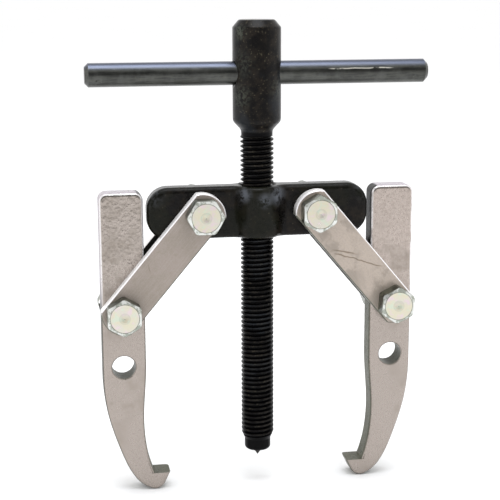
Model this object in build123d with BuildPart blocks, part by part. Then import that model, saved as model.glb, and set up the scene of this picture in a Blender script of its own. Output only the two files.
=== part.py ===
from build123d import *
import os

os.makedirs("parts", exist_ok=True)

# Two-jaw gear puller, standing upright, in millimetres.
# +Z runs up the forcing screw, +X to the right, and the links lie in planes across Y.
# The origin is the point of the centre pin, where the puller bears on the shaft's centre.

# Forcing screw, M14 x 2, with a plain head that takes the handle bar.
SCREW_R = 7.0
SCREW_PITCH = 2.0
THREAD_DEPTH = 1.15
ROD_LOW_Z = -6.0
THREAD_START_Z = 0.74
THREAD_TURNS = 70.25
DOG_R = 5.65
DOG_BASE_Z = 3.3
DOG_EDGE_R = 1.4
DOG_TOP_Z = 8.2
THREAD_FULL_Z = 11.2
NECK_START_Z = 140.9
NECK_R = 6.6
NECK_SPLIT_Z = 142.4
SHOULDER_LOW_Z = 143.6
SHOULDER_TOP_Z = 147.3
SHOULDER_BLEND_R = 2.8
HEAD_R = 10.1
HEAD_TOP_Z = 189.0
HEAD_FACE_R = 7.45
HEAD_CHAMFER_H = 3.1
HEAD_EDGE_R = 1.2

# Centre pin in the screw's nose.
PIN_R = 1.2
PIN_TAPER_H = 1.7
PIN_TOP_Z = 13.0
PIN_PLAY = 0.05

# Handle bar, a loose sliding fit across the head, staked at both ends.
BAR_R = 4.9
BAR_LENGTH = 144.0
BAR_OFFSET_X = 0.9
BAR_Z = 167.2
BAR_CHAMFER = 1.5
BAR_PLAY = 0.15
BAR_ENTRY_R = 6.1
STAKE_INSET = 5.6
STAKE_TOOL_R = 2.2
STAKE_DEPTH = 0.45
STAKE_ANGLE = 210

# Yoke, the forged cross-arm, with a hub round the screw.
PLATE_T = 10.0
YOKE_HALF_X = 47.1
YOKE_HALF_Z = 11.0
YOKE_END_R = 9.0
YOKE_EDGE_R = 2.4
HUB_R = 10.8
HUB_BLEND_R = 4.5
HUB_ROOT_X = 13.0
YOKE_BORE_R = 7.1
YOKE_BORE_CHAMFER = 1.2

# Pivots: the upper ones go through the yoke, the lower ones through the jaws.
UPPER_X = 24.0
UPPER_Z = 109.6
LOWER_X = 58.2
LOWER_Z = 68.9
PIVOT_HOLE_R = 5.075

# Links, flat plates in front of and behind the yoke and the jaws.
LINK_T = 5.0
LINK_HALF_W = 8.0
LINK_REACH = 8.9
LINK_END_R = 10.0
LINK_GAP = 0.1
LINK_EDGE_BEVEL = 0.45

# Jaws, drop forged, with a hook at the foot.
JAW_IN_X = 48.7
JAW_OUT_X = 67.1
JAW_TOP_Z = 119.2
JAW_CORNER_R = 3.5
JAW_EDGE_R = 1.6
JAW_STRAIGHT_IN = (JAW_IN_X, 46.0)
JAW_WAIST_IN = (50.0, 21.0)
JAW_ROOT = (45.9, -3.8)
JAW_STRAIGHT_OUT = (JAW_OUT_X, 42.0)
JAW_BELLY = (65.3, 23.5)
JAW_CALF = (60.8, 8.5)
JAW_HEEL = (54.3, -5.4)
JAW_HEEL_SLOPE = (-0.57, -0.82)
JAW_SOLE = (47.6, -10.8)
JAW_NOSE_LOW = (41.4, -8.4)
JAW_NOSE_TOP = (39.2, -3.8)
SPARE_HOLE_Z = 44.5
SPARE_HOLE_R = 5.0
SPARE_HOLE_CHAMFER = 0.4

# Hexagon bolts and nuts, M10, with a plain dimple in each head.
BOLT_R = 5.0
BOLT_PITCH = 1.5
BOLT_THREAD_DEPTH = 0.8
BOLT_THREAD_TURNS = 6.6
BOLT_THREAD_START_Y = 10.9
BOLT_TIP_Y = 20.1
BOLT_TIP_CHAMFER = 0.9
HEAD_AF = 14.0
HEAD_H = 7.0
DIMPLE_R = 1.6
DIMPLE_DEPTH = 0.3
NUT_AF = 17.0
NUT_H = 8.0
NUT_BORE_R = 5.1
NUT_BORE_CHAMFER = 0.7
HEX_FACE_SHARE = 0.87
HEX_CHAMFER_SLOPE = 0.577
HEX_CORNER_SHARE = 1.11

# Thread groove, as shares of the pitch: half its mouth and root, and how far the cutter stands proud.
MOUTH_SHARE = 0.44
ROOT_SHARE = 0.06
PROUD_SHARE = 0.15

# Each fastener's place and how far its head and its nut are turned, in degrees.
FASTENERS = {
    "left_upper": (-UPPER_X, UPPER_Z, 0, 14),
    "left_lower": (-LOWER_X, LOWER_Z, 30, 0),
    "right_upper": (UPPER_X, UPPER_Z, 30, 22),
    "right_lower": (LOWER_X, LOWER_Z, 26, 8),
}

LINK_IN_Y = PLATE_T / 2 + LINK_GAP
LINK_OUT_Y = LINK_IN_Y + LINK_T


def cut_thread(centre, axis, radius, pitch, depth, turns):
    """Cut a right-hand V groove into the part being built, along axis from centre."""
    with BuildLine() as helix:
        Helix(pitch, pitch * turns, radius, center=centre, direction=axis)
    start = helix.line @ 0
    across = Plane(origin=start, x_dir=start - Vector(centre), z_dir=helix.line % 0)
    mouth = MOUTH_SHARE * pitch
    root = ROOT_SHARE * pitch
    proud = PROUD_SHARE * pitch
    with BuildSketch(across) as groove:
        with BuildLine():
            Polyline((proud, -mouth), (-depth, -root), (-depth, root), (proud, mouth), close=True)
        make_face()
    sweep(groove.sketch, path=helix.line, is_frenet=True, mode=Mode.SUBTRACT)


def hexagon(base, across_flats, turn, height, profile):
    """Raise a hexagon from base and turn its corners down to a profile of (radius, height) points."""
    with BuildSketch(base) as outline:
        RegularPolygon(across_flats / 2, 6, major_radius=False, rotation=turn)
    extrude(outline.sketch, amount=height)
    upright = Plane(origin=base.origin, x_dir=base.x_dir, z_dir=-base.y_dir)
    with BuildSketch(upright) as turned:
        with BuildLine():
            Polyline(*profile, close=True)
        make_face()
    revolve(turned.sketch, axis=Axis(base.origin, base.z_dir), mode=Mode.INTERSECT)


def pivot_hole(x, z, radius):
    """Drill a hole along Y through the part being built."""
    with BuildSketch(Plane.XZ) as drill:
        with Locations((x, z)):
            Circle(radius)
    extrude(drill.sketch, amount=PLATE_T, both=True, mode=Mode.SUBTRACT)


# Forcing screw: a threaded rod turned down to its nose and neck, then the head with its cross hole.
with BuildPart() as forcing_screw:
    with Locations((0, 0, ROD_LOW_Z)):
        Cylinder(SCREW_R, SHOULDER_LOW_Z - ROD_LOW_Z, align=(Align.CENTER, Align.CENTER, Align.MIN))
    cut_thread((0, 0, THREAD_START_Z), (0, 0, 1), SCREW_R, SCREW_PITCH, THREAD_DEPTH, THREAD_TURNS)
    with BuildSketch(Plane.XZ):
        with BuildLine():
            Polyline(
                (0, DOG_BASE_Z),
                (DOG_R, DOG_BASE_Z),
                (DOG_R, DOG_TOP_Z),
                (SCREW_R, THREAD_FULL_Z),
                (SCREW_R, NECK_START_Z),
                (NECK_R, NECK_START_Z + SCREW_R - NECK_R),
                (NECK_R, NECK_SPLIT_Z),
                (0, NECK_SPLIT_Z),
                close=True,
            )
        make_face()
        foot = vertices().filter_by_position(Axis.Y, DOG_BASE_Z - 1, DOG_BASE_Z + 1)
        fillet(foot.sort_by(Axis.X)[-1], radius=DOG_EDGE_R)
    revolve(axis=Axis.Z, mode=Mode.INTERSECT)
    with BuildSketch(Plane.XZ):
        with BuildLine():
            Polyline(
                (0, NECK_SPLIT_Z),
                (NECK_R, NECK_SPLIT_Z),
                (NECK_R, SHOULDER_LOW_Z),
                (HEAD_R, SHOULDER_TOP_Z),
                (HEAD_R, HEAD_TOP_Z - HEAD_CHAMFER_H),
                (HEAD_FACE_R, HEAD_TOP_Z),
                (0, HEAD_TOP_Z),
                close=True,
            )
        make_face()
        shoulder = vertices().filter_by_position(Axis.Y, SHOULDER_LOW_Z - 0.1, SHOULDER_TOP_Z + 1)
        fillet(shoulder, radius=SHOULDER_BLEND_R)
        crown = vertices().filter_by_position(Axis.Y, HEAD_TOP_Z - HEAD_CHAMFER_H - 1, HEAD_TOP_Z + 1)
        fillet(crown.sort_by(Axis.X)[1:], radius=HEAD_EDGE_R)
    revolve(axis=Axis.Z)

    hole_r = BAR_R + BAR_PLAY
    flare = BAR_ENTRY_R - hole_r
    past_head = 2.0
    with BuildSketch(Plane.XZ):
        with BuildLine():
            Polyline(
                (-HEAD_R - past_head, BAR_Z),
                (-HEAD_R - past_head, BAR_Z + BAR_ENTRY_R + past_head),
                (-HEAD_R + flare, BAR_Z + hole_r),
                (HEAD_R - flare, BAR_Z + hole_r),
                (HEAD_R + past_head, BAR_Z + BAR_ENTRY_R + past_head),
                (HEAD_R + past_head, BAR_Z),
                close=True,
            )
        make_face()
    revolve(axis=Axis((0, 0, BAR_Z), (1, 0, 0)), mode=Mode.SUBTRACT)

    with BuildSketch(Plane.XY):
        Circle(PIN_R + PIN_PLAY)
    extrude(amount=PIN_TOP_Z + PIN_PLAY, mode=Mode.SUBTRACT)

# Centre pin: stays still on the shaft while the screw turns round it.
with BuildPart() as center_pin:
    with BuildSketch(Plane.XZ):
        with BuildLine():
            Polyline((0, 0), (PIN_R, PIN_TAPER_H), (PIN_R, PIN_TOP_Z), (0, PIN_TOP_Z), close=True)
        make_face()
    revolve(axis=Axis.Z)

# Handle bar: chamfered rod with a staking dimple near each end.
bar_axis = Plane(origin=(BAR_OFFSET_X, 0, BAR_Z), x_dir=(0, 1, 0), z_dir=(1, 0, 0))
with BuildPart() as handle_bar:
    with BuildSketch(bar_axis):
        Circle(BAR_R)
    extrude(amount=BAR_LENGTH / 2, both=True)
    chamfer(edges().filter_by(GeomType.CIRCLE), length=BAR_CHAMFER)
    for end in (-1, 1):
        stake_plane = bar_axis.offset(end * (BAR_LENGTH / 2 - STAKE_INSET))
        with Locations(stake_plane):
            with PolarLocations(BAR_R + STAKE_TOOL_R - STAKE_DEPTH, 1, start_angle=STAKE_ANGLE):
                Sphere(STAKE_TOOL_R, mode=Mode.SUBTRACT)

# Yoke: flat arms with rounded ends, and a hub that blends into them.
with BuildPart() as yoke:
    with BuildSketch(Plane.XZ):
        with Locations((0, UPPER_Z)):
            RectangleRounded(2 * YOKE_HALF_X, 2 * YOKE_HALF_Z, YOKE_END_R)
    extrude(amount=PLATE_T / 2, both=True)
    with BuildSketch(Plane.XY.offset(UPPER_Z - YOKE_HALF_Z)):
        Circle(HUB_R)
        Rectangle(2 * HUB_ROOT_X, PLATE_T)
        fillet(vertices().filter_by_position(Axis.X, -HUB_R, HUB_R), radius=HUB_BLEND_R)
    extrude(amount=2 * YOKE_HALF_Z)
    rim = edges().filter_by(Axis.Y, reverse=True)
    seams = rim.filter_by(Axis.Z).filter_by_position(Axis.X, -HUB_ROOT_X, HUB_ROOT_X)
    fillet(rim - seams, radius=YOKE_EDGE_R)
    with BuildSketch(Plane.XY):
        Circle(YOKE_BORE_R)
    extrude(amount=HEAD_TOP_Z, mode=Mode.SUBTRACT)
    bore_rims = edges().filter_by(GeomType.CIRCLE).filter_by(lambda e: abs(e.radius - YOKE_BORE_R) < 0.01)
    chamfer(bore_rims, length=YOKE_BORE_CHAMFER)
    for side in (-1, 1):
        pivot_hole(side * UPPER_X, UPPER_Z, PIVOT_HOLE_R)

# Links: four alike, one in front and one behind on each side.
link_parts = {}
for side, side_name in ((-1, "left"), (1, "right")):
    for face, face_name in ((-1, "front"), (1, "rear")):
        upper = Vector(side * UPPER_X, face * LINK_IN_Y, UPPER_Z)
        lower = Vector(side * LOWER_X, face * LINK_IN_Y, LOWER_Z)
        flat = Plane(origin=upper, x_dir=lower - upper, z_dir=(0, face, 0))
        span = (lower - upper).length
        sagitta = LINK_END_R - (LINK_END_R**2 - LINK_HALF_W**2) ** 0.5
        corner = LINK_REACH - sagitta
        with BuildPart() as link:
            with BuildSketch(flat):
                with BuildLine():
                    near = ThreePointArc((-corner, LINK_HALF_W), (-LINK_REACH, 0), (-corner, -LINK_HALF_W))
                    far = ThreePointArc(
                        (span + corner, -LINK_HALF_W), (span + LINK_REACH, 0), (span + corner, LINK_HALF_W)
                    )
                    Line(near @ 1, far @ 0)
                    Line(far @ 1, near @ 0)
                make_face()
                with Locations((0, 0), (span, 0)):
                    Circle(PIVOT_HOLE_R, mode=Mode.SUBTRACT)
            extrude(amount=LINK_T)
            outer_face = faces().sort_by(Axis(flat.origin, flat.z_dir))[-1]
            chamfer(outer_face.outer_wire().edges(), length=LINK_EDGE_BEVEL)
        link_parts[f"{side_name}_{face_name}_link"] = link.part

# Jaws: the right one is modelled, and the left one is its mirror image.
with BuildPart() as right_jaw:
    with BuildSketch(Plane.XZ):
        with BuildLine():
            Polyline(JAW_STRAIGHT_IN, (JAW_IN_X, JAW_TOP_Z), (JAW_OUT_X, JAW_TOP_Z), JAW_STRAIGHT_OUT)
            back = Spline(JAW_STRAIGHT_OUT, JAW_BELLY, JAW_CALF, JAW_HEEL, tangents=[(0, -1), JAW_HEEL_SLOPE])
            sole = TangentArc(back @ 1, JAW_SOLE, tangent=back % 1)
            toe = TangentArc(sole @ 1, JAW_NOSE_LOW, tangent=sole % 1)
            Polyline(toe @ 1, JAW_NOSE_TOP, JAW_ROOT)
            Spline(JAW_ROOT, JAW_WAIST_IN, JAW_STRAIGHT_IN, tangents=[(0.4, 1), (0, 1)])
        make_face()
        fillet(vertices().group_by(Axis.Y)[-1], radius=JAW_CORNER_R)
    extrude(amount=PLATE_T / 2, both=True)
    outline = faces().filter_by(Axis.Y).edges()
    ledge_edges = outline.filter_by(Axis.X).sort_by(Axis.Z)[:2]
    fillet(outline - ledge_edges, radius=JAW_EDGE_R)
    pivot_hole(LOWER_X, LOWER_Z, PIVOT_HOLE_R)
    pivot_hole(LOWER_X, SPARE_HOLE_Z, SPARE_HOLE_R)
    spare_rims = edges().filter_by(GeomType.CIRCLE).filter_by(lambda e: abs(e.radius - SPARE_HOLE_R) < 0.01)
    chamfer(spare_rims, length=SPARE_HOLE_CHAMFER)

with BuildPart() as left_jaw:
    mirror(right_jaw.part, about=Plane.YZ)

# Bolts from the front, nuts behind.
fastener_parts = {}
for place, (x, z, head_turn, nut_turn) in FASTENERS.items():
    under_head = Plane(origin=(x, -LINK_OUT_Y, z), x_dir=(1, 0, 0), z_dir=(0, -1, 0))
    face_r = HEX_FACE_SHARE * HEAD_AF / 2
    corner_r = HEX_CORNER_SHARE * HEAD_AF / 2
    drop = (corner_r - face_r) * HEX_CHAMFER_SLOPE
    head_profile = [
        (0, 0),
        (corner_r, 0),
        (corner_r, HEAD_H - drop),
        (face_r, HEAD_H),
        (DIMPLE_R, HEAD_H),
        (0, HEAD_H - DIMPLE_DEPTH),
    ]
    with BuildPart() as bolt:
        hexagon(under_head, HEAD_AF, head_turn, HEAD_H, head_profile)
        with BuildSketch(under_head):
            Circle(BOLT_R)
        extrude(amount=-LINK_OUT_Y - BOLT_TIP_Y)
        chamfer(faces().sort_by(Axis.Y)[-1].edges(), length=BOLT_TIP_CHAMFER)
        cut_thread((x, BOLT_THREAD_START_Y, z), (0, 1, 0), BOLT_R, BOLT_PITCH, BOLT_THREAD_DEPTH,
                   BOLT_THREAD_TURNS)
    fastener_parts[f"{place}_bolt"] = bolt.part

    on_link = Plane(origin=(x, LINK_OUT_Y, z), x_dir=(1, 0, 0), z_dir=(0, 1, 0))
    face_r = HEX_FACE_SHARE * NUT_AF / 2
    corner_r = HEX_CORNER_SHARE * NUT_AF / 2
    drop = (corner_r - face_r) * HEX_CHAMFER_SLOPE
    nut_profile = [
        (NUT_BORE_R, NUT_BORE_CHAMFER),
        (NUT_BORE_R + NUT_BORE_CHAMFER, 0),
        (face_r, 0),
        (corner_r, drop),
        (corner_r, NUT_H - drop),
        (face_r, NUT_H),
        (NUT_BORE_R + NUT_BORE_CHAMFER, NUT_H),
        (NUT_BORE_R, NUT_H - NUT_BORE_CHAMFER),
    ]
    with BuildPart() as nut:
        hexagon(on_link, NUT_AF, nut_turn, NUT_H, nut_profile)
    fastener_parts[f"{place}_nut"] = nut.part

single_parts = {
    "forcing_screw": forcing_screw.part,
    "center_pin": center_pin.part,
    "handle_bar": handle_bar.part,
    "yoke": yoke.part,
    "right_jaw": right_jaw.part,
    "left_jaw": left_jaw.part,
}
for name, part in {**single_parts, **link_parts, **fastener_parts}.items():
    part.label = name
    export_step(part, f"parts/{name}.step")
    print(name, round(part.volume), part.is_valid, len(part.solids()))
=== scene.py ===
import math

import bpy
from mathutils import Matrix, Vector


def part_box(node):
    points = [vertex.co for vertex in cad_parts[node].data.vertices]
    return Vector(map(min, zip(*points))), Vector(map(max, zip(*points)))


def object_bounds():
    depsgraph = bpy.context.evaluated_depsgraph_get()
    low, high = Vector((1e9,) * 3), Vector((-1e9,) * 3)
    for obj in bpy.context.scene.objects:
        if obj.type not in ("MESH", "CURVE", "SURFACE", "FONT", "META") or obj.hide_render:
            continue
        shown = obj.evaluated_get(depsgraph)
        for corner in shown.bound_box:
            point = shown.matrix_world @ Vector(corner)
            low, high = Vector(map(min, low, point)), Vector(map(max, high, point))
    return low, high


MM = 0.001

# Camera, in the part's frame: where it stands, and how it is turned.
CAMERA_AT = (-0.0934, -0.5178, 0.2028)
CAMERA_YAW = 9.894
CAMERA_PITCH = 11.882
CAMERA_ROLL = -0.192
CAMERA_LENS = 90.67
SENSOR_WIDTH = 36.0

FLOOR_SIZE = 60.0
WORLD_STRENGTH = 1.06
SOFTBOX_WATTS = 11.0
SOFTBOX_TINT = (0.92, 0.95, 1.0)

# Cards: name, place, what it faces (None is the part's middle), width, height, brightness.
CARDS = (
    ("card_back", (0.0, 1.6, 0.45), None, 3.0, 0.8, 1.5),
    ("card_left", (-1.3, -0.2, 0.5), None, 1.6, 1.1, 1.5),
    ("card_right", (1.3, -0.2, 0.5), None, 1.6, 1.1, 1.3),
    ("card_front", (0.0, -1.7, 0.75), (0.0, 0.0, 0.75), 2.6, 1.2, 0.18),
    ("card_upper_left", (-1.1, -0.5, 1.35), None, 1.2, 0.7, 0.12),
)

# Colours, linear.
ZINC = (0.375, 0.327, 0.295)
ZINC_LINK_LEFT = (0.310, 0.262, 0.230)
ZINC_LINK_RIGHT = (0.450, 0.380, 0.322)
ZINC_TOP_LEFT = (0.41, 0.36, 0.325)
ZINC_TOP_RIGHT = (0.475, 0.405, 0.365)
ZINC_PALE = (0.50, 0.44, 0.40)
# Painted highlight, for the rounded and sharp edges of the zinc parts.
ZINC_PAINTED_HIGHLIGHT = (0.86, 0.84, 0.85)
ZINC_DARK = (0.34, 0.30, 0.27)
ZINC_POCKET = (0.24, 0.20, 0.17)
ZINC_STAIN = (0.29, 0.25, 0.21)
# Painted highlight, for the links' edges that face up.
ZINC_EDGE_PAINTED_HIGHLIGHT = (0.90, 0.88, 0.87)
ZINC_SCORE = (0.17, 0.13, 0.09)
# Painted shade, for the links' faces that are turned in towards the jaws.
LINK_INNER_PAINTED_SHADE = (0.022, 0.021, 0.017)
# The jaws' own forged-side colour; on the links it is painted shade on the edges and chamfers that face
# down.
FORGED_SIDE_AND_SHADE = (0.125, 0.125, 0.095)
FORGED_SIDE_TOP = (0.46, 0.42, 0.46)
# Painted shade, for the jaws' forged sides that do not face up.
FORGED_SIDE_PAINTED_SHADE = (0.060, 0.062, 0.048)
FORGED_SIDE_DARK = (0.030, 0.032, 0.024)
# Painted shade, for the jaws' upper inner sides that face the black yoke.
INNER_SIDE_PAINTED_SHADE = (0.02, 0.018, 0.02)
OXIDE = (0.003, 0.0025, 0.0025)
OXIDE_BROWN = (0.0125, 0.0095, 0.0070)
OXIDE_GREEN = (0.007, 0.008, 0.004)
OXIDE_SLATE = (0.014, 0.016, 0.019)
# Pale patches on the screw: partly rubbed wear, partly painted highlight.
OXIDE_MOSS_AND_SHEEN = (0.072, 0.080, 0.062)
OIL_BLACK = (0.0012, 0.0011, 0.0014)
OXIDE_FLECK = (0.13, 0.115, 0.075)
OXIDE_WORN = (0.07, 0.07, 0.065)
# Pale bluish patches on the yoke: partly bare wear, partly painted highlight.
OXIDE_BARE_AND_SHEEN = (0.11, 0.12, 0.14)
BAR_DARK = (0.052, 0.053, 0.050)
BAR_GREY = (0.088, 0.090, 0.085)
BAR_OLIVE = (0.105, 0.106, 0.094)
# Painted sky reflection, for the bar's up-facing side.
BAR_PAINTED_SKY_REFLECTION = (0.088, 0.098, 0.132)
BAR_WORN = (0.20, 0.20, 0.20)
BAR_BRIGHT = (0.75, 0.74, 0.66)
CREAM = (0.60, 0.57, 0.49)
STRAW = (0.63, 0.585, 0.44)
PINK_TINT = (0.66, 0.53, 0.57)
GREEN_TINT = (0.55, 0.62, 0.50)
SILVER = (0.66, 0.66, 0.64)
BEVEL_SILVER = (0.66, 0.67, 0.64)
BEVEL_DARK = (0.22, 0.24, 0.19)
FLAT_DARK = (0.045, 0.052, 0.036)
FLAT_OLIVE = (0.19, 0.20, 0.155)
PIN_BROWN = (0.022, 0.020, 0.018)
PIN_GREY = (0.045, 0.043, 0.040)
PAPER_GREY = (0.93, 0.93, 0.93)
PAPER_WHITE = (0.96, 0.96, 0.96)
WHITE = (1.0, 1.0, 1.0)

# Sizes of the solids that the finishes follow.
HEX_FACE_R = 6.09 * MM      # the round face on a bolt's head
SCREW_R = 7.0 * MM          # over the thread's crests
SCREW_HEAD_H = 45.4 * MM    # from the head's top to the foot of its shoulder

# Sizes of marks in the finishes.
OIL_DEPTH = 0.3 * MM        # the oil reaches its full black this far below the crests
PUNCH_RING_R = 2.1 * MM     # the ring round the dimple in a bolt's head
DIMPLE_ROUGH_R = 2.0 * MM   # the face is rougher inside this, round the dimple
BAR_SCORE_START = 28 * MM   # the bright score on the bar, from the bar's middle
BAR_SCORE_END = 57 * MM
BAR_SCORE_HEIGHT = 1.6 * MM  # above the bar's middle
LINK_SCORE_WIDTH = 0.42 * MM  # from a score's middle to its faint edge
HAMMER_DEPTH_LEFT = 0.34 * MM
HAMMER_DEPTH_RIGHT = 0.14 * MM

# Score marks on the links: each runs between two points, as (share of the span, distance across).
LINK_SCORES = {
    "right_front": (
        ((0.30, -6.5 * MM), (0.50, 2.0 * MM)),
        ((0.33, -6.8 * MM), (0.72, 7.0 * MM)),
    ),
    "left_front": (
        ((0.55, -6.0 * MM), (0.62, -1.5 * MM)),
    ),
}


class Finish:
    """One material: a Principled shader and short calls that add the nodes behind it."""

    def __init__(self, name):
        self.material = bpy.data.materials.new(name)
        self.material.use_nodes = True
        self.tree = self.material.node_tree
        self.tree.nodes.clear()
        output = self.add("ShaderNodeOutputMaterial")
        self.shader = self.add("ShaderNodeBsdfPrincipled")
        self.tree.links.new(self.shader.outputs[0], output.inputs[0])
        coordinates = self.add("ShaderNodeTexCoord")
        self.place = coordinates.outputs["Object"]
        self.normal = coordinates.outputs["Normal"]

    def add(self, kind, **settings):
        node = self.tree.nodes.new(kind)
        for setting, value in settings.items():
            setattr(node, setting, value)
        return node

    def put(self, value, socket):
        """Link a socket, or set a plain number or colour."""
        if isinstance(value, bpy.types.NodeSocket):
            self.tree.links.new(value, socket)
        elif isinstance(value, tuple) and socket.type == "RGBA":
            socket.default_value = (*value, 1.0)
        else:
            socket.default_value = value

    def set(self, **sockets):
        for name, value in sockets.items():
            self.put(value, self.shader.inputs[name.replace("_", " ")])

    def math(self, operation, *values, clamp=False):
        node = self.add("ShaderNodeMath", operation=operation, use_clamp=clamp)
        for value, socket in zip(values, node.inputs):
            self.put(value, socket)
        return node.outputs[0]

    def vector(self, operation, *values):
        node = self.add("ShaderNodeVectorMath", operation=operation)
        for value, socket in zip(values, node.inputs):
            self.put(value, socket)
        return node.outputs["Value"] if operation in ("LENGTH", "DISTANCE") else node.outputs["Vector"]

    def parts(self, vector):
        return self.add_linked("ShaderNodeSeparateXYZ", vector).outputs

    def add_linked(self, kind, value):
        node = self.add(kind)
        self.put(value, node.inputs[0])
        return node

    def stretched(self, x, y, z):
        """The place on the part, scaled along each axis."""
        return self.vector("MULTIPLY", self.place, (x, y, z))

    def turned(self, angle):
        """The place on the part, turned about Y so that its first axis runs along a link."""
        node = self.add("ShaderNodeVectorRotate", rotation_type="Y_AXIS")
        self.put(self.place, node.inputs["Vector"])
        node.inputs["Angle"].default_value = angle
        return node.outputs[0]

    def noise(self, scale, vector=None, detail=4.0, roughness=0.55, distortion=0.0):
        node = self.add("ShaderNodeTexNoise")
        self.put(self.place if vector is None else vector, node.inputs["Vector"])
        node.inputs["Scale"].default_value = scale
        node.inputs["Detail"].default_value = detail
        node.inputs["Roughness"].default_value = roughness
        node.inputs["Distortion"].default_value = distortion
        return node.outputs[0]

    def fade(self, value, low, high, to_low=0.0, to_high=1.0):
        """A smooth step of value from low to high."""
        node = self.add("ShaderNodeMapRange", interpolation_type="SMOOTHSTEP")
        for number, socket in zip((value, low, high, to_low, to_high), node.inputs):
            self.put(number, socket)
        return node.outputs[0]

    def mix(self, share, first, second):
        node = self.add("ShaderNodeMix", data_type="RGBA")
        self.put(share, node.inputs["Factor"])
        self.put(first, node.inputs[6])
        self.put(second, node.inputs[7])
        return node.outputs[2]

    def bump(self, height, distance, strength=1.0, under=None):
        node = self.add("ShaderNodeBump")
        node.inputs["Strength"].default_value = strength
        node.inputs["Distance"].default_value = distance
        self.put(height, node.inputs["Height"])
        if under is not None:
            self.put(under, node.inputs["Normal"])
        return node.outputs[0]

    def score(self, start, end, width, wobble):
        """Near 1 on a thin line from start to end, both in the XZ plane, wandering with wobble."""
        run = end - start
        away = self.vector("SUBTRACT", self.place, tuple(start))
        along = self.dot(away, run.normalized())
        across = self.dot(away, Vector((run.z, 0.0, -run.x)).normalized())
        across = self.math("ADD", across, self.math("MULTIPLY", wobble, 10 * width))
        on_line = self.fade(self.math("ABSOLUTE", across), width, 0.3 * width)
        started = self.fade(along, 0.0, 10 * width)
        ended = self.fade(along, run.length, run.length - 10 * width)
        return self.math("MULTIPLY", on_line, self.math("MULTIPLY", started, ended))

    def dot(self, vector, axis):
        node = self.add("ShaderNodeVectorMath", operation="DOT_PRODUCT")
        self.put(vector, node.inputs[0])
        self.put(tuple(axis), node.inputs[1])
        return node.outputs["Value"]

    def worn_and_sheen_patches(self, colour, patches, breakup, worn_and_sheen_colour):
        """Pale spots, partly bare wear and partly painted highlight, each given by its middle, its reach
        and its strength, broken up by a noise.
        """
        broken = self.fade(breakup, 0.42, 0.58)
        for place, reach, strength in patches:
            away = self.vector("DISTANCE", self.place, place)
            spot = self.math("MULTIPLY", self.fade(away, reach, 0.1 * reach), broken)
            colour = self.mix(self.math("MULTIPLY", spot, strength), colour, worn_and_sheen_colour)
        return colour

    def edges(self, radius, sharpness=3.0):
        """Near 1 along the part's sharp edges, 0 on its flats."""
        rounded = self.add("ShaderNodeBevel", samples=6)
        rounded.inputs["Radius"].default_value = radius
        flat = self.add("ShaderNodeNewGeometry").outputs["Normal"]
        turned = self.add("ShaderNodeVectorMath", operation="DOT_PRODUCT")
        self.put(rounded.outputs[0], turned.inputs[0])
        self.put(flat, turned.inputs[1])
        away = self.math("SUBTRACT", 1.0, turned.outputs["Value"], clamp=True)
        return self.math("MULTIPLY", away, sharpness, clamp=True)


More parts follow.
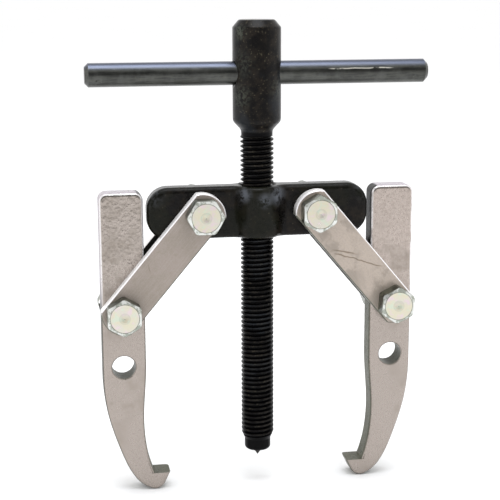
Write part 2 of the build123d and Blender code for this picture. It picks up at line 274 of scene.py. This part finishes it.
def zinc_jaw(name, hammer_depth, top_colour):
    """Zinc plate on a drop forging: hammered at the top, finer below, with duller, scaly sides, painted
    shade on the sides that do not face up and on the upper inner sides, and painted highlights on the
    rounded edges.
    """
    finish = Finish(name)
    x, _, height = finish.parts(finish.place)[0:3]
    nx, ny, nz = finish.parts(finish.normal)[0:3]
    facing = finish.math("ABSOLUTE", ny)
    hammered = finish.fade(height, 35 * MM, 95 * MM)
    cloud = finish.noise(95.0, detail=6.0, roughness=0.62)
    patch = finish.noise(30.0, detail=3.0)
    stained = finish.math("MULTIPLY", finish.fade(cloud, 0.48, 0.66), finish.fade(patch, 0.40, 0.58))
    colour = finish.mix(finish.fade(height, 50 * MM, 100 * MM), ZINC, top_colour)
    colour = finish.mix(finish.math("MULTIPLY", stained, 0.6), colour, ZINC_STAIN)
    pebble = finish.noise(1.0, finish.stretched(900.0, 900.0, 720.0), detail=2.0, roughness=0.5)
    pocket = finish.math("MULTIPLY", finish.fade(pebble, 0.50, 0.34), hammered)
    colour = finish.mix(finish.math("MULTIPLY", pocket, 0.25), colour, ZINC_POCKET)
    crest = finish.math("MULTIPLY", finish.fade(pebble, 0.54, 0.66), hammered)
    colour = finish.mix(finish.math("MULTIPLY", crest, 0.3), colour, ZINC_PALE)
    grain = finish.noise(1.0, finish.stretched(2400.0, 2400.0, 700.0), detail=3.0, roughness=0.65)
    colour = finish.mix(finish.math("MULTIPLY", finish.fade(grain, 0.60, 0.42), 0.35), colour, ZINC_DARK)
    # Painted shade: a dark line along the up-facing fillets round the jaw's front face, broken up by the
    # cloud.
    dark_line = finish.math("MULTIPLY", finish.fade(facing, 0.995, 0.96), finish.fade(facing, 0.80, 0.90))
    dark_line = finish.math("MULTIPLY", dark_line, finish.fade(cloud, 0.40, 0.50))
    dark_line = finish.math("MULTIPLY", dark_line, finish.fade(nz, 0.05, 0.20))
    colour = finish.mix(finish.math("MULTIPLY", dark_line, 0.75), colour, FORGED_SIDE_DARK)

    wavy_height = finish.math("ADD", height, finish.math("MULTIPLY", cloud, 14 * MM))
    upper = finish.fade(wavy_height, 70 * MM, 95 * MM)
    inward = finish.fade(finish.math("MULTIPLY", x, nx), -0.004, -0.02)
    # Painted shade: the lower forged sides are darker where they do not face up.
    outer = finish.mix(finish.fade(nz, 0.1, 0.6), FORGED_SIDE_PAINTED_SHADE, FORGED_SIDE_AND_SHADE)
    outer = finish.mix(upper, outer, FORGED_SIDE_TOP)
    # Painted shade: the upper inner sides, which face the black yoke, go near black.
    inner_side_shaded = finish.mix(upper, FORGED_SIDE_AND_SHADE, INNER_SIDE_PAINTED_SHADE)
    side = finish.mix(inward, outer, inner_side_shaded)
    scale = finish.noise(520.0, detail=6.0, roughness=0.68)
    scaled = finish.math("MULTIPLY", finish.fade(scale, 0.40, 0.66), 0.45)
    bare = finish.mix(inward, ZINC_DARK, FORGED_SIDE_DARK)
    side = finish.mix(scaled, side, finish.mix(upper, FORGED_SIDE_DARK, bare))
    flat = finish.fade(facing, 0.40, 0.85)
    colour = finish.mix(flat, side, colour)
    # Painted highlight: a bright band on the rounded edges of the upper part, broken up by the cloud.
    painted_bevel_highlight = finish.math("MULTIPLY", finish.fade(facing, 0.35, 0.60), finish.fade(facing, 0.93, 0.80))
    painted_bevel_highlight = finish.math("MULTIPLY", painted_bevel_highlight, finish.fade(cloud, 0.34, 0.48))
    painted_bevel_highlight = finish.math("MULTIPLY", painted_bevel_highlight, upper)
    colour = finish.mix(finish.math("MULTIPLY", painted_bevel_highlight, 0.7), colour, ZINC_PAINTED_HIGHLIGHT)
    finish.set(Base_Color=colour, Metallic=finish.math("MULTIPLY", flat, 0.78))
    finish.shader.inputs["Specular IOR Level"].default_value = 0.04
    roughness = finish.math("ADD", finish.math("MULTIPLY", grain, 0.16), 0.20)
    finish.set(Roughness=finish.math("ADD", roughness, finish.math("MULTIPLY", stained, 0.12)))
    surface = finish.bump(grain, 0.03 * MM, 0.5)
    surface = finish.bump(finish.math("MULTIPLY", pebble, hammered), hammer_depth, 1.0, under=surface)
    finish.set(Normal=surface)
    return finish.material


def zinc_link(name, plate, start, end, scores):
    """Zinc plate on bar stock: brushed along the link, tarnished in clouds, scored across by rubbing, with
    painted highlight and shade on its edges and painted shade on its inner faces.

    plate is the plate's colour, start and end are the pivots, and each score is given by its two ends
    as (share of the span, across).
    """
    finish = Finish(name)
    run = end - start
    ny, nz = finish.parts(finish.normal)[1:3]
    along = finish.turned(math.atan2(run.z, run.x))
    strokes = finish.vector("MULTIPLY", along, (90.0, 2200.0, 2200.0))
    brushed = finish.noise(1.0, strokes, detail=4.0, roughness=0.6)
    speck = finish.noise(1500.0, detail=3.0, roughness=0.7)
    cloud = finish.noise(85.0, detail=6.0, roughness=0.66)
    patch = finish.noise(34.0, detail=3.0, distortion=0.8)
    stained = finish.math("MULTIPLY", finish.fade(cloud, 0.45, 0.55), finish.fade(patch, 0.40, 0.50))
    colour = finish.mix(finish.math("MULTIPLY", stained, 0.7), plate, ZINC_STAIN)
    colour = finish.mix(finish.math("MULTIPLY", finish.fade(speck, 0.44, 0.60), 0.45), colour, ZINC_DARK)
    colour = finish.mix(finish.math("MULTIPLY", finish.fade(brushed, 0.46, 0.64), 0.14), colour, ZINC_PALE)
    wobble = finish.math("SUBTRACT", finish.noise(95.0, detail=3.0), 0.5)
    for first, last in scores:
        ends = []
        for share, across in (first, last):
            aside = Vector((-run.z, 0.0, run.x)).normalized() * across
            ends.append(start + run * share + aside)
        mark = finish.score(ends[0], ends[1], LINK_SCORE_WIDTH, wobble)
        mark = finish.math("MULTIPLY", mark, finish.fade(ny, 0.5, -0.5))
        colour = finish.mix(finish.math("MULTIPLY", mark, 0.8), colour, ZINC_SCORE)
    # Painted highlight and shade: the link's edges are white where they face up and dark where they face
    # down; the streaks are the edges' own marks.
    edge = finish.mix(finish.fade(nz, -0.1, 0.35), FORGED_SIDE_AND_SHADE, ZINC_EDGE_PAINTED_HIGHLIGHT)
    streak = finish.noise(1.0, finish.vector("MULTIPLY", along, (500.0, 900.0, 500.0)), detail=3.0)
    edge = finish.mix(finish.math("MULTIPLY", finish.fade(streak, 0.46, 0.66), 0.35), edge, ZINC_DARK)
    flat = finish.fade(finish.math("ABSOLUTE", ny), 0.2, 0.5)
    colour = finish.mix(flat, edge, colour)
    # Painted shade: the faces turned in towards the jaws go near black and less metallic.
    y = finish.parts(finish.place)[1]
    inside = finish.fade(finish.math("MULTIPLY", y, ny), 0.0, -2 * MM)
    colour = finish.mix(inside, colour, LINK_INNER_PAINTED_SHADE)
    # Painted highlight and shade: the chamfer is bright where it faces up and dark where it faces down.
    chamfer = finish.math("MULTIPLY", flat, finish.fade(finish.math("ABSOLUTE", ny), 0.95, 0.85))
    colour = finish.mix(chamfer, colour, finish.mix(finish.fade(nz, -0.1, 0.1), FORGED_SIDE_AND_SHADE, ZINC_PAINTED_HIGHLIGHT))
    # Painted highlight: a bright line along the link's sharp edges.
    rim = finish.edges(0.30 * MM)
    colour = finish.mix(finish.math("MULTIPLY", rim, 0.3), colour, ZINC_PAINTED_HIGHLIGHT)
    plated = finish.math("MULTIPLY", flat, finish.fade(inside, 1.0, 0.0))
    finish.set(Base_Color=colour, Metallic=finish.fade(plated, 0.0, 1.0, 0.15, 0.42))
    roughness = finish.math("ADD", finish.math("MULTIPLY", brushed, 0.12), 0.28)
    finish.set(Roughness=finish.math("ADD", roughness, finish.math("MULTIPLY", stained, 0.14)))
    surface = finish.bump(brushed, 0.02 * MM, 0.2)
    finish.set(Normal=finish.bump(cloud, 0.16 * MM, 0.5, under=surface))
    return finish.material


def black_screw(name, thread_top, worn_and_sheen_spots):
    """Black oxide on turned steel: speckled, rubbed grey on rims, oily between the thread's crests."""
    finish = Finish(name)
    mottle = finish.noise(210.0, detail=6.0, roughness=0.66)
    cloud = finish.noise(55.0, detail=4.0)
    fleck = finish.noise(1150.0, detail=2.0, roughness=0.5)
    colour = finish.mix(finish.fade(mottle, 0.42, 0.64), OXIDE, OXIDE_BROWN)
    colour = finish.mix(finish.math("MULTIPLY", finish.fade(cloud, 0.48, 0.62), 0.8), colour, OXIDE_SLATE)
    flecked = finish.math("MULTIPLY", finish.fade(fleck, 0.60, 0.70), finish.fade(mottle, 0.42, 0.54))
    colour = finish.mix(finish.math("MULTIPLY", flecked, 0.30), colour, OXIDE_FLECK)
    speckle = finish.noise(700.0, detail=3.0, roughness=0.7)
    # Pale patches, mostly down the head's left side: partly rubbed wear, partly painted highlight.
    colour = finish.worn_and_sheen_patches(colour, worn_and_sheen_spots, speckle, OXIDE_MOSS_AND_SHEEN)
    rim = finish.math("MULTIPLY", finish.edges(0.5 * MM), finish.fade(mottle, 0.42, 0.58))
    colour = finish.mix(finish.math("MULTIPLY", rim, 0.6), colour, OXIDE_WORN)
    height = finish.parts(finish.place)[2]
    across = finish.vector("LENGTH", finish.vector("MULTIPLY", finish.place, (1.0, 1.0, 0.0)))
    threaded = finish.fade(height, thread_top, thread_top - 1 * MM)
    oily = finish.math("MULTIPLY", threaded, finish.fade(across, SCREW_R, SCREW_R - OIL_DEPTH))
    colour = finish.mix(oily, colour, OIL_BLACK)
    finish.set(Base_Color=colour, Metallic=0.0)
    finish.set(Specular_IOR_Level=finish.fade(threaded, 0.0, 1.0, 0.12, 0.07))
    finish.set(Roughness=finish.math("ADD", finish.math("MULTIPLY", mottle, 0.30), 0.16))
    turned = finish.noise(1.0, finish.stretched(350.0, 350.0, 3600.0), detail=2.0)
    surface = finish.bump(turned, 0.015 * MM, 0.4)
    finish.set(Normal=finish.bump(mottle, 0.05 * MM, 0.45, under=surface))
    return finish.material


def black_forging(name, worn_and_sheen_spots):
    """Black oxide on a forging: soft lumps, brown mottling, and pale patches on the hub's shoulders,
    partly bare wear and partly painted highlight.
    """
    finish = Finish(name)
    mottle = finish.noise(260.0, detail=6.0, roughness=0.66)
    cloud = finish.noise(45.0, detail=4.0)
    lumps = finish.noise(300.0, detail=2.0)
    fleck = finish.noise(1300.0, detail=2.0)
    colour = finish.mix(finish.fade(mottle, 0.40, 0.66), OXIDE, OXIDE_BROWN)
    colour = finish.mix(finish.math("MULTIPLY", finish.fade(cloud, 0.45, 0.60), 0.6), colour, OXIDE_GREEN)
    flecked = finish.math("MULTIPLY", finish.fade(fleck, 0.68, 0.74), finish.fade(mottle, 0.48, 0.58))
    colour = finish.mix(finish.math("MULTIPLY", flecked, 0.7), colour, OXIDE_FLECK)
    # Pale bluish patches: partly bare wear, partly painted highlight.
    colour = finish.worn_and_sheen_patches(colour, worn_and_sheen_spots, mottle, OXIDE_BARE_AND_SHEEN)
    rim = finish.math("MULTIPLY", finish.edges(0.8 * MM), finish.fade(mottle, 0.40, 0.58))
    colour = finish.mix(finish.math("MULTIPLY", rim, 0.35), colour, OXIDE_WORN)
    finish.set(Base_Color=colour, Metallic=0.0)
    finish.shader.inputs["Specular IOR Level"].default_value = 0.13
    finish.set(Roughness=finish.math("ADD", finish.math("MULTIPLY", mottle, 0.30), 0.14))
    surface = finish.bump(mottle, 0.05 * MM, 0.5)
    finish.set(Normal=finish.bump(lumps, 0.30 * MM, 0.6, under=surface))
    return finish.material


def rubbed_bar(name, scratch_start, scratch_end, height):
    """The handle bar: drawn rod, blackened, rubbed to gunmetal, with a painted bluish sky reflection on
    top and one bright score.
    """
    finish = Finish(name)
    drawn = finish.noise(1.0, finish.stretched(120.0, 1500.0, 1500.0), detail=4.0, roughness=0.6)
    mottle = finish.noise(170.0, detail=5.0, roughness=0.62)
    fleck = finish.noise(1000.0, detail=2.0)
    colour = finish.mix(finish.fade(mottle, 0.38, 0.64), BAR_DARK, BAR_GREY)
    colour = finish.mix(finish.math("MULTIPLY", finish.fade(drawn, 0.40, 0.64), 0.5), colour, BAR_OLIVE)
    colour = finish.mix(finish.math("MULTIPLY", finish.fade(fleck, 0.70, 0.76), 0.6), colour, OXIDE_FLECK)
    # Painted reflection: the bar's up-facing side turns bluish, as the sky would show in it.
    upward = finish.fade(finish.parts(finish.normal)[2], 0.35, 0.80)
    colour = finish.mix(upward, colour, BAR_PAINTED_SKY_REFLECTION)
    x, y, z = finish.parts(finish.place)[0:3]
    waver = finish.noise(1.0, finish.stretched(70.0, 0.0, 0.0), detail=2.0)
    waver = finish.math("MULTIPLY", finish.math("SUBTRACT", waver, 0.5), 1.2 * MM)
    line = finish.math("ADD", height, waver)
    off_line = finish.math("ABSOLUTE", finish.math("SUBTRACT", z, line))
    on_line = finish.fade(off_line, 0.34 * MM, 0.10 * MM)
    on_line = finish.math("MULTIPLY", on_line, finish.fade(y, 0.0, -1 * MM))
    started = finish.fade(x, scratch_start, scratch_start + 3 * MM)
    ended = finish.fade(x, scratch_end, scratch_end - 3 * MM)
    broken = finish.fade(finish.noise(260.0, detail=2.0), 0.36, 0.46)
    score = finish.math("MULTIPLY", started, ended)
    score = finish.math("MULTIPLY", score, finish.math("MULTIPLY", on_line, broken))
    colour = finish.mix(score, colour, BAR_BRIGHT)
    rim = finish.edges(0.5 * MM)
    colour = finish.mix(finish.math("MULTIPLY", rim, 0.4), colour, BAR_WORN)
    finish.set(Base_Color=colour, Metallic=1.0)
    finish.set(Roughness=finish.math("ADD", finish.math("MULTIPLY", mottle, 0.20), 0.24))
    finish.set(Normal=finish.bump(drawn, 0.006 * MM, 0.4))
    return finish.material


def yellow_zinc(name, centre):
    """Yellow-passivated zinc on a bolt and its nut: rings, rainbow tint, bright bevels, dull flats."""
    finish = Finish(name)
    off_axis = finish.vector("SUBTRACT", finish.place, (centre.x, 0.0, centre.z))
    radius = finish.vector("LENGTH", finish.vector("MULTIPLY", off_axis, (1.0, 0.0, 1.0)))
    rings = finish.add("ShaderNodeTexNoise", noise_dimensions="1D")
    finish.put(radius, rings.inputs["W"])
    rings.inputs["Scale"].default_value = 3600.0
    rings.inputs["Detail"].default_value = 2.0
    ring = rings.outputs[0]
    cloud = finish.noise(190.0, detail=4.0)
    tint = finish.noise(300.0, finish.vector("ADD", finish.place, (0.31, 0.0, 0.17)), detail=3.0)
    face = finish.mix(finish.fade(cloud, 0.40, 0.62), CREAM, STRAW)
    face = finish.mix(finish.math("MULTIPLY", finish.fade(tint, 0.52, 0.64), 0.8), face, PINK_TINT)
    face = finish.mix(finish.math("MULTIPLY", finish.fade(tint, 0.47, 0.36), 0.8), face, GREEN_TINT)
    face = finish.mix(finish.math("MULTIPLY", finish.fade(ring, 0.42, 0.62), 0.30), face, SILVER)
    face_edge = finish.math("ABSOLUTE", finish.math("SUBTRACT", radius, HEX_FACE_R))
    groove = finish.math("MULTIPLY", finish.fade(face_edge, 0.35 * MM, 0.05 * MM), 0.85)
    face = finish.mix(groove, face, FLAT_DARK)
    punched = finish.math("ABSOLUTE", finish.math("SUBTRACT", radius, PUNCH_RING_R))
    ringed = finish.math("MULTIPLY", finish.fade(punched, 0.5 * MM, 0.1 * MM), 0.18)
    face = finish.mix(ringed, face, FLAT_OLIVE)
    flat = finish.mix(finish.fade(cloud, 0.36, 0.62), FLAT_DARK, FLAT_OLIVE)
    facing = finish.math("ABSOLUTE", finish.parts(finish.normal)[1])
    glint = finish.noise(380.0, detail=3.0, roughness=0.6)
    dulled = finish.math("MULTIPLY", finish.fade(glint, 0.46, 0.58), 0.75)
    turning = finish.mix(dulled, BEVEL_SILVER, BEVEL_DARK)
    bevel = finish.mix(finish.fade(facing, 0.45, 0.70), flat, turning)
    colour = finish.mix(finish.fade(facing, 0.93, 0.99), bevel, face)
    # Painted shade: a dark line along the sharp edges of the head and the nut.
    rim = finish.edges(0.40 * MM, sharpness=9.0)
    colour = finish.mix(finish.math("MULTIPLY", rim, 0.8), colour, FLAT_DARK)
    finish.set(Base_Color=colour, Metallic=0.9)
    roughness = finish.math("ADD", finish.math("MULTIPLY", cloud, 0.16), 0.22)
    dimple = finish.fade(radius, DIMPLE_ROUGH_R, 0.7 * DIMPLE_ROUGH_R, 0.0, 0.25)
    finish.set(Roughness=finish.math("ADD", roughness, dimple))
    finish.set(Normal=finish.bump(ring, 0.02 * MM, 0.35))
    return finish.material


def pin_steel(name):
    """Hardened ground steel, slightly browned."""
    finish = Finish(name)
    ground = finish.noise(1.0, finish.stretched(900.0, 900.0, 5200.0), detail=2.0)
    finish.set(Base_Color=finish.mix(ground, PIN_BROWN, PIN_GREY), Metallic=1.0)
    finish.set(Roughness=finish.math("ADD", finish.math("MULTIPLY", ground, 0.15), 0.25))
    finish.set(Normal=finish.bump(ground, 0.01 * MM, 0.4))
    return finish.material


def give(node, material):
    """Put one material on every slot of a CAD node or piece."""
    for slot in node.material_slots:
        slot.material = material


def middle(name):
    low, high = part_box(name)
    return (low + high) / 2


def paint(nodes):
    """The finish of each CAD node."""
    sides = (
        ("left", HAMMER_DEPTH_LEFT, ZINC_TOP_LEFT, ZINC_LINK_LEFT),
        ("right", HAMMER_DEPTH_RIGHT, ZINC_TOP_RIGHT, ZINC_LINK_RIGHT),
    )
    for side, hammer_depth, top_colour, plate in sides:
        give(nodes[f"{side}_jaw"], zinc_jaw(f"zinc_jaw_plate_{side}", hammer_depth, top_colour))
        upper = middle(f"{side}_upper_nut")
        lower = middle(f"{side}_lower_nut")
        for face in ("front", "rear"):
            scores = LINK_SCORES.get(f"{side}_{face}", ())
            finish = zinc_link(f"zinc_link_plate_{side}_{face}", plate, upper, lower, scores)
            give(nodes[f"{side}_{face}_link"], finish)
        for level, centre in (("upper", upper), ("lower", lower)):
            finish = yellow_zinc(f"yellow_zinc_{side}_{level}", centre)
            give(nodes[f"{side}_{level}_bolt"], finish)
            give(nodes[f"{side}_{level}_nut"], finish)
    low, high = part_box("yoke")
    # Pale patches on the hub's shoulders and the ends' top corners: partly bare wear, partly painted
    # highlight.
    worn_and_sheen_spots = [
        ((-0.72 * high.y, 0.85 * low.y, high.z - 3.0 * MM), 5.0 * MM, 0.8),
        ((0.75 * high.y, 0.80 * low.y, high.z - 3.5 * MM), 6.0 * MM, 0.9),
        ((0.15 * high.y, low.y, high.z - 5.5 * MM), 4.5 * MM, 0.6),
        ((0.95 * low.x, 0.25 * low.y, high.z - 3.0 * MM), 7.0 * MM, 0.35),
        ((0.95 * high.x, 0.25 * low.y, high.z - 3.0 * MM), 7.0 * MM, 0.25),
    ]
    give(nodes["yoke"], black_forging("black_oxide_forging", worn_and_sheen_spots))
    low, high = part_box("forcing_screw")
    # Pale patches, mostly down the head's left side: partly rubbed wear, partly painted highlight.
    worn_and_sheen_spots = [
        ((0.80 * low.x, 0.60 * low.y, high.z - 5.0 * MM), 4.5 * MM, 0.7),
        ((0.80 * low.x, 0.60 * low.y, high.z - 31.0 * MM), 7.0 * MM, 0.5),
        ((0.75 * high.x, 0.60 * low.y, high.z - 28.0 * MM), 7.0 * MM, 0.35),
        ((0.75 * low.x, 0.65 * low.y, high.z - 18.0 * MM), 8.0 * MM, 0.30),
    ]
    give(nodes["forcing_screw"], black_screw("black_oxide_screw", high.z - SCREW_HEAD_H, worn_and_sheen_spots))
    bar = middle("handle_bar")
    score = (bar.x + BAR_SCORE_START, bar.x + BAR_SCORE_END, bar.z + BAR_SCORE_HEIGHT)
    give(nodes["handle_bar"], rubbed_bar("rubbed_black_bar", *score))
    give(nodes["center_pin"], pin_steel("hardened_pin"))


def floor_under(lowest):
    """A plain pale floor that the hooks stand on."""
    mesh = bpy.data.meshes.new("floor")
    half = FLOOR_SIZE / 2
    corners = [(-half, -half, lowest), (half, -half, lowest)]
    corners += [(half, half, lowest), (-half, half, lowest)]
    mesh.from_pydata(corners, [], [(0, 1, 2, 3)])
    floor = bpy.data.objects.new("floor", mesh)
    bpy.context.scene.collection.objects.link(floor)
    finish = Finish("floor_paper")
    cloud = finish.noise(3.0, detail=2.0)
    finish.set(Base_Color=finish.mix(cloud, PAPER_GREY, PAPER_WHITE), Roughness=0.9)
    finish.shader.inputs["Specular IOR Level"].default_value = 0.1
    mesh.materials.append(finish.material)


def softbox(name, place, target, width, height, watts, tint):
    light = bpy.data.lights.new(name, "AREA")
    light.shape = "RECTANGLE"
    light.size = width
    light.size_y = height
    light.energy = watts
    light.color = tint
    box = bpy.data.objects.new(name, light)
    box.location = place
    box.rotation_euler = (Vector(target) - Vector(place)).to_track_quat("-Z", "Y").to_euler()
    bpy.context.scene.collection.objects.link(box)


def card(name, place, target, width, height, brightness):
    """A card that only reflections see: bright ones add a sheen, dark ones give edges."""
    mesh = bpy.data.meshes.new(name)
    corners = [(-width / 2, -height / 2, 0), (width / 2, -height / 2, 0)]
    corners += [(width / 2, height / 2, 0), (-width / 2, height / 2, 0)]
    mesh.from_pydata(corners, [], [(0, 1, 2, 3)])
    paper = bpy.data.materials.new(name)
    paper.use_nodes = True
    paper.node_tree.nodes.clear()
    output = paper.node_tree.nodes.new("ShaderNodeOutputMaterial")
    glow = paper.node_tree.nodes.new("ShaderNodeEmission")
    glow.inputs["Color"].default_value = (*WHITE, 1.0)
    glow.inputs["Strength"].default_value = brightness
    paper.node_tree.links.new(glow.outputs[0], output.inputs[0])
    mesh.materials.append(paper)
    board = bpy.data.objects.new(name, mesh)
    board.location = place
    board.rotation_euler = (Vector(target) - Vector(place)).to_track_quat("-Z", "Y").to_euler()
    bpy.context.scene.collection.objects.link(board)
    board.visible_camera = False
    board.visible_diffuse = False
    board.visible_shadow = False


def light_the_stage(centre):
    """Even light from all round, a large softbox overhead, and cards for the metal to reflect.

    Their places are in the part's frame.
    """
    world = bpy.data.worlds.new("studio")
    bpy.context.scene.world = world
    world.use_nodes = True
    background = world.node_tree.nodes["Background"]
    background.inputs["Color"].default_value = (*WHITE, 1.0)
    background.inputs["Strength"].default_value = WORLD_STRENGTH
    softbox("softbox_top", (0.0, -0.1, 1.4), centre, 0.8, 0.8, SOFTBOX_WATTS, SOFTBOX_TINT)
    for name, place, target, width, height, brightness in CARDS:
        card(name, place, target or centre, width, height, brightness)


def camera_on_the_object():
    camera = bpy.data.cameras.new("camera")
    camera.lens = CAMERA_LENS
    camera.sensor_width = SENSOR_WIDTH
    camera.clip_start = 0.01
    camera.clip_end = 200.0
    stand = bpy.data.objects.new("camera", camera)
    turn = Matrix.Rotation(-math.radians(CAMERA_YAW), 4, "Z")
    tilt = Matrix.Rotation(math.radians(90.0 - CAMERA_PITCH), 4, "X")
    roll = Matrix.Rotation(math.radians(CAMERA_ROLL), 4, "Z")
    stand.matrix_world = Matrix.Translation(CAMERA_AT) @ turn @ tilt @ roll
    bpy.context.scene.collection.objects.link(stand)
    bpy.context.scene.camera = stand


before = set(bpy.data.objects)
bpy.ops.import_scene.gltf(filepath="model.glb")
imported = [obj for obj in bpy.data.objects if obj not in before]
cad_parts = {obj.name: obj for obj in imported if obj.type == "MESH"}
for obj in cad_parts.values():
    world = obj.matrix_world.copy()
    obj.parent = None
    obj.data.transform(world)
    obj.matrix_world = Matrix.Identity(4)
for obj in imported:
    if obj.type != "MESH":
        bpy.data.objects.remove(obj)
cad_low, cad_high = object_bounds()
paint(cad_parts)
floor_under(cad_low.z)
light_the_stage((cad_low + cad_high) / 2)
camera_on_the_object()
bpy.context.scene.view_settings.view_transform = "Standard"
